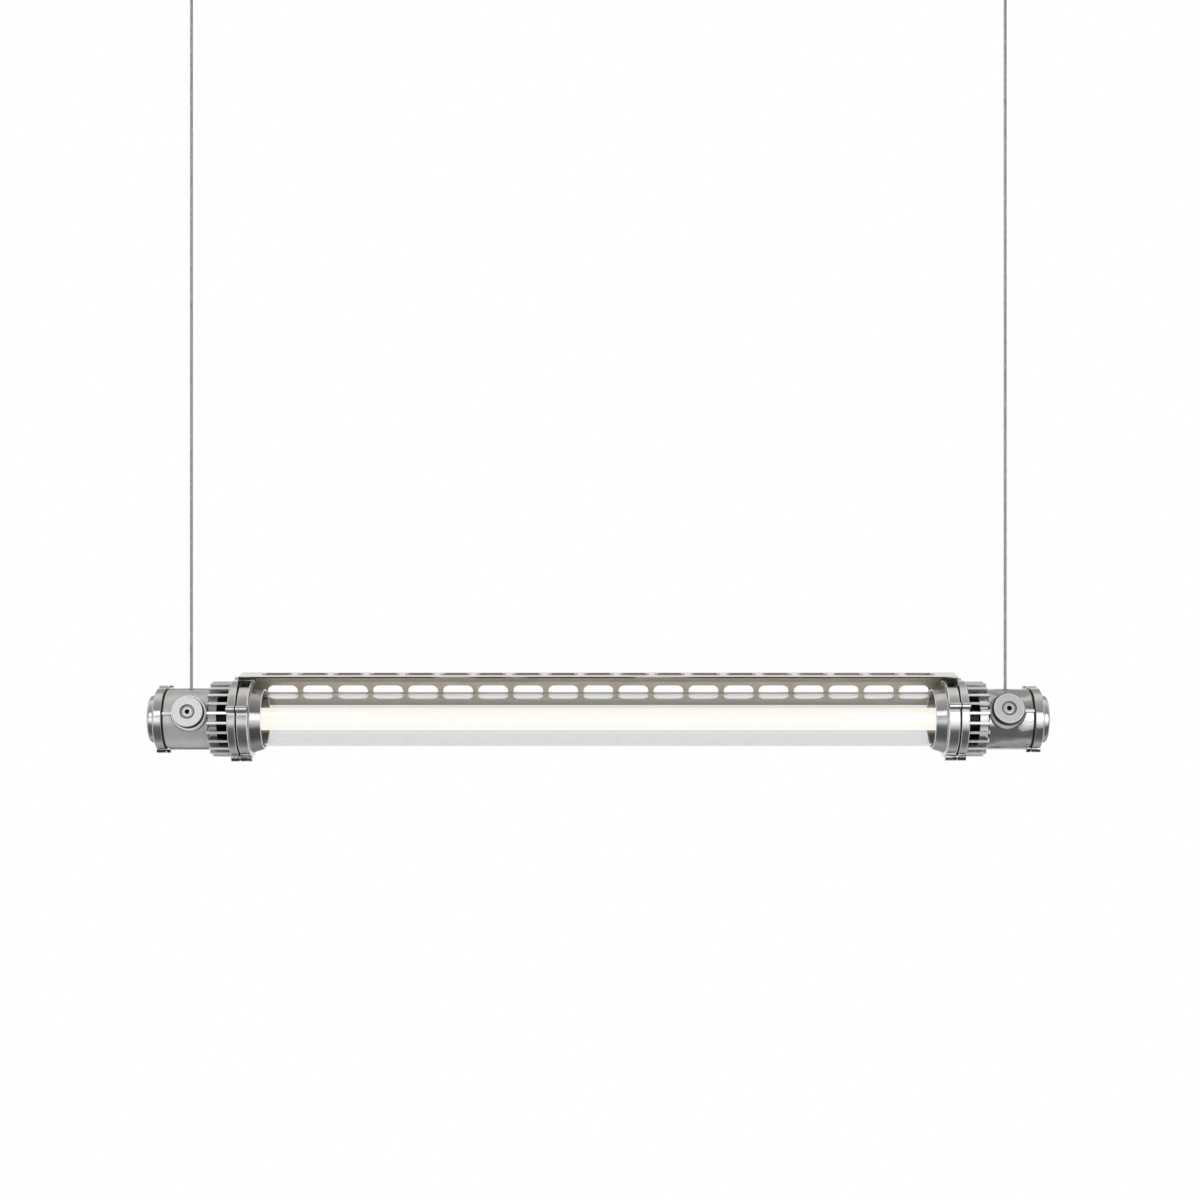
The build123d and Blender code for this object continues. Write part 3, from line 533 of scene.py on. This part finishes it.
# plug faces: fine turning marks round the plug's own middle
turnedLook = {"tone": (0.915, 0.93, 0.945, 1), "darkTone": (0.82, 0.835, 0.85, 1), "rough": (0.34, 0.46),
              "metallic": 1.0, "marks": {"Scale": 260, "Distortion": 0.6, "Detail": 2.0}, "bump": 0.10,
              "bumpDepth": 0.0002, "recess": 0.0089, "recessTone": 0.5, "side": 0.0177, "sideTone": 0.22,
              "ring": 0.0169, "ringStrength": 0.9, "edge": 0.0002}


def turnedMaterial(name, side):
    look = turnedLook
    edge = look["edge"]
    material, tree, shader = newMaterial(name)
    plug = plugPlace(tree, objectVector(tree), side)
    wave = addNode(tree, "ShaderNodeTexWave", wave_type="RINGS", rings_direction="Y")
    feedAll(tree, wave, {"Vector": plug, **look["marks"]})
    marks = wave.outputs["Fac"]
    # painted shade in the screw's recess and on the plug's side wall
    recess = plugShade(tree, plug, look["recess"], edge, look["recessTone"])
    wall = plugShade(tree, plug, look["side"], edge, 1.0, look["sideTone"])
    colour = timesShade(tree, mixColour(tree, marks, look["darkTone"], look["tone"]), recess, wall)
    # a painted highlight round the face's edge
    ring = calculate(tree, "MULTIPLY", plugShade(tree, plug, look["ring"], edge, 0.0, look["ringStrength"]),
                     plugShade(tree, plug, look["side"], edge, 1.0, 0.0))
    colour, metal = paintRimHighlights(tree, colour, look["metallic"], [], ring)
    feedAll(tree, shader, {"Base Color": colour, "Metallic": metal, "Roughness": between(tree, marks, *look["rough"])})
    addBump(tree, shader, marks, look["bump"], look["bumpDepth"])
    return material


# clear glass
glassLook = {"tone": (0.88, 0.88, 0.878, 1), "ior": 1.47, "rough": (0.0, 0.03), "smear": (0.5, 0.8),
             "smearScale": 18, "smearDetail": 3.0}


def glassMaterial():
    look = glassLook
    material, tree, shader = newMaterial("clearGlass")
    smear = addNoise(tree, objectVector(tree), look["smearScale"], look["smearDetail"])
    feedAll(tree, shader, {"Base Color": look["tone"], "Roughness": remap(tree, smear, *look["smear"], *look["rough"]),
                           "IOR": look["ior"], "Transmission Weight": 1.0})
    return material


# lit diffuser: warm white, a little deeper along its top and at its ends
litLook = {"middle": (1.0, 0.99, 0.945, 1), "middleTo": 0.80, "edge": (0.96, 0.87, 0.74, 1), "radius": 0.013,
           "endTone": (1.0, 0.95, 0.85, 1), "endFade": (0.355, 0.425), "strength": 1.10, "castStrength": 2.0,
           "unlit": (0.05, 0.05, 0.05, 1), "rough": 0.5}


def litMaterial():
    look = litLook
    material, tree, shader = newMaterial("litDiffuser")
    x, y, z = splitVector(tree, objectVector(tree))
    height = remap(tree, z, axisZ - look["radius"], axisZ + look["radius"])
    across = addRamp(tree, height, [(0.0, look["middle"]), (look["middleTo"], look["middle"]), (1.0, look["edge"])])
    nearEnd = softStep(tree, calculate(tree, "ABSOLUTE", x), *look["endFade"])
    # seen straight on it is just white, but it lights the metal round it more
    path = tree.nodes.new("ShaderNodeLightPath")
    bounces = calculate(tree, "ADD", path.outputs["Glossy Depth"], path.outputs["Diffuse Depth"])
    feedAll(tree, shader, {"Emission Color": mixColour(tree, nearEnd, across, look["endTone"], "MULTIPLY"),
                           "Emission Strength": between(tree, bounces, look["strength"], look["castStrength"]),
                           "Base Color": look["unlit"], "Roughness": look["rough"]})
    return material


finishes["clearGlass"] = glassMaterial()
finishes["litDiffuser"] = litMaterial()
finishes["endHousing"] = housingMaterial()
finishes["plugScrew"] = socketMaterial()
finishes["guardSheet"] = guardMaterial()
for side in sides:
    finishes[side + "Plug"] = turnedMaterial(side + "Plug", side)

wearer = {
    "endHousing": ["housing"],
    "turnedCasting": ["collar", "end_cap", "ceiling_flange"],
    "guardSheet": ["guard"],
    "plugScrew": ["plug_screws"],
    "brightSteel": ["end_cap_screws", "flange_bolts", "holder_screws", "lower_trunnions",
                    "upper_trunnions", "upper_eye", "lower_eye", "upper_swivel", "lower_swivel",
                    "upper_pin", "lower_pin"],
    "blackRubber": ["glass_seal", "plug_seal", "end_cap_gasket"],
    "tubeMetal": ["tube_spine", "tube_cap", "holder_plate"],
    "holderPlastic": ["lampholder", "holder_rotor", "terminal_block"],
    "boardWhite": ["led_board"],
    "brassPins": ["tube_pins"],
    "leadCover": ["leads"],
    "ropeSteel": ["cable"],
    "clearGlass": ["glass_tube"],
    "litDiffuser": ["tube_diffuser"],
}


def dress(node, material):
    mesh = nodes[node].data
    mesh.materials.clear()
    mesh.materials.append(material)


for finish, names in wearer.items():
    for name in names:
        for node in nodes:
            if node == name or node in ("left_" + name, "right_" + name):
                dress(node, finishes[finish])
for side in sides:
    dress(side + "_plug", finishes[side + "Plug"])
print("finishes on", len(nodes), "nodes")

# hanging cables: a steel rope of six strands round a core
rope = {"along": 0.483, "foot": -0.856, "head": -0.028, "diameter": 0.0038, "leadDiameters": 6,
        "smoothness": 64, "lay": 0.021, "strands": 6, "strandSwell": 1.04, "stepsPerTurn": 14, "strandSides": 8,
        "coreRadius": 0.0009, "coreSides": 8}


def ropeLine(side):
    x = sides[side] * rope["along"]
    lead = rope["leadDiameters"] * rope["diameter"]
    stations = [rope["foot"], rope["foot"] + lead, rope["head"] - lead, rope["head"]]
    curve = bpy.data.curves.new(side + "RopeLine", "CURVE")
    curve.dimensions = "3D"
    spline = curve.splines.new("NURBS")
    spline.points.add(len(stations) - 1)
    for point, z in zip(spline.points, stations):
        point.co = (x, 0, z, 1)
    spline.order_u = 3
    spline.use_endpoint_u = True
    spline.resolution_u = rope["smoothness"]
    line = bpy.data.objects.new(side + "RopeLine", curve)
    scene.collection.objects.link(line)
    mesh = bpy.data.meshes.new_from_object(line)
    points = [v.co.copy() for v in mesh.vertices]
    bpy.data.objects.remove(line)
    bpy.data.meshes.remove(mesh)
    return points


def ropeMesh(side, points):
    strandRadius = rope["diameter"] / 2 / (1 + 1 / sin(pi / rope["strands"])) * rope["strandSwell"]
    circle = rope["diameter"] / 2 - strandRadius
    foot, head = points[0], points[-1]
    steps = int((head - foot).length / rope["lay"] * rope["stepsPerTurn"])
    verts, faces = [], []

    def tube(centres, radius, count):
        start = len(verts)
        for centre in centres:
            for k in range(count):
                turn = 2 * pi * k / count
                verts.append((centre[0] + radius * cos(turn), centre[1] + radius * sin(turn), centre[2]))
        for i in range(len(centres) - 1):
            for k in range(count):
                a = start + i * count + k
                b = start + i * count + (k + 1) % count
                faces.append((a, b, b + count, a + count))
        faces.append([start + k for k in reversed(range(count))])
        faces.append([start + (len(centres) - 1) * count + k for k in range(count)])

    spots = [foot.lerp(head, i / steps) for i in range(steps + 1)]
    for s in range(rope["strands"]):
        centres = []
        for spot in spots:
            turn = 2 * pi * ((spot.z - foot.z) / rope["lay"] + s / rope["strands"])
            centres.append((spot.x + circle * cos(turn), spot.y + circle * sin(turn), spot.z))
        tube(centres, strandRadius, rope["strandSides"])
    tube([foot, head], rope["coreRadius"], rope["coreSides"])
    mesh = bpy.data.meshes.new(side + "Rope")
    mesh.from_pydata(verts, [], faces)
    mesh.update()
    piece = bpy.data.objects.new(side + "Rope", mesh)
    scene.collection.objects.link(piece)
    for face in mesh.polygons:
        face.use_smooth = len(face.vertices) == 4
    mesh.materials.append(finishes["ropeSteel"])
    return piece


for side in sides:
    points = ropeLine(side)
    piece = ropeMesh(side, points)
    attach(piece, side + "_cable")
    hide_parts(side + "_cable")
    print("rope", side, len(points), "points")

# floor, well below the lamp
floorSet = {"z": axisZ - 0.92, "radius": 1.05, "sides": 96, "tone": (0.96, 0.96, 0.96, 1), "rough": 0.8}
bpy.ops.object.select_all(action="DESELECT")
bpy.ops.mesh.primitive_circle_add(vertices=floorSet["sides"], radius=floorSet["radius"], fill_type="NGON",
                                  location=(0, 0, floorSet["z"]))
floor = bpy.context.object
floor.name = "floor"
floorMaterial, floorTree, floorShader = newMaterial("floorWhite")
feedAll(floorTree, floorShader, {"Base Color": floorSet["tone"], "Roughness": floorSet["rough"]})
floor.data.materials.append(floorMaterial)
floor.visible_glossy = False

# soft studio light
lamps = {
    "softRight": {"place": (1.25, -3.0, -0.44), "aim": (0.4, 0, axisZ), "size": (1.1, 1.4), "power": 10.5},
    "lowRight": {"place": (1.25, -3.0, -1.95), "aim": (0.4, 0, axisZ), "size": (1.1, 1.4), "power": 2},
    "smallLeft": {"place": (-1.14, -3.0, 0.27), "aim": (-0.4, 0, axisZ), "size": (0.9, 0.9), "power": 4.5},
    "softLeft": {"place": (-1.42, -3.0, -0.86), "aim": (-0.5, 0, axisZ), "size": (0.5, 0.9), "power": 1.8},
}


def addLamp(name, lamp):
    data = bpy.data.lights.new(name, "AREA")
    data.shape = "RECTANGLE"
    data.size, data.size_y = lamp["size"]
    data.energy = lamp["power"]
    light = bpy.data.objects.new(name, data)
    scene.collection.objects.link(light)
    light.location = lamp["place"]
    light.rotation_euler = (Vector(lamp["aim"]) - Vector(lamp["place"])).to_track_quat("-Z", "Y").to_euler()


for name, lamp in lamps.items():
    addLamp(name, lamp)

# world: white behind, and a studio in pale and dark bands for the metal to mirror
# degrees round the lamp: 0 in front, 90 above, -90 below, 180 behind
worldSet = {"diffuse": 0.75, "warm": (1.0, 0.985, 0.962), "cool": (0.95, 0.975, 1.0), "coolBetween": (-30, 10),
            "sideTone": 0.62, "sideFrom": 0.70, "sideTo": 0.92,
            "studio": [(-180, 1.0), (-168, 0.9), (-155, 0.36), (-125, 0.40), (-104, 0.50), (-88, 0.24), (-72, 0.12),
                       (-40, 0.12), (-27, 0.20), (-20, 0.42), (-15, 0.90), (-7, 0.95), (-2, 0.62), (6, 0.40),
                       (14, 0.25), (26, 0.18), (36, 0.32), (50, 0.40), (68, 0.50), (82, 0.80), (102, 0.82),
                       (114, 0.42), (145, 0.36), (158, 0.9), (168, 1.0), (180, 1.0)]}


# cool light from the front, warm from all other sides
def studioTone(degrees, value):
    start, stop = worldSet["coolBetween"]
    tint = worldSet["cool"] if start < degrees < stop else worldSet["warm"]
    return tuple(value * part for part in tint) + (1,)


def makeWorld():
    world = bpy.data.worlds.new("studio")
    world.use_nodes = True
    scene.world = world
    tree = world.node_tree
    path = tree.nodes.new("ShaderNodeLightPath")
    x, y, z = splitVector(tree, tree.nodes.new("ShaderNodeTexCoord").outputs["Generated"])
    turn = calculate(tree, "ARCTAN2", z, calculate(tree, "MULTIPLY", y, -1.0))
    stops = [((degrees + 180) / 360, studioTone(degrees, value)) for degrees, value in worldSet["studio"]]
    studio = addRamp(tree, remap(tree, turn, -pi, pi), stops)
    # plain walls at both sides
    wall = softStep(tree, calculate(tree, "ABSOLUTE", x), worldSet["sideFrom"], worldSet["sideTo"])
    around = mixColour(tree, wall, studio, grey(worldSet["sideTone"]))
    lit = mixColour(tree, path.outputs["Is Glossy Ray"], grey(worldSet["diffuse"]), around)
    seen = calculate(tree, "MAXIMUM", path.outputs["Is Camera Ray"], path.outputs["Is Transmission Ray"])
    feedAll(tree, tree.nodes["Background"], {"Color": mixColour(tree, seen, lit, grey(1.0))})


makeWorld()
print("studio set")
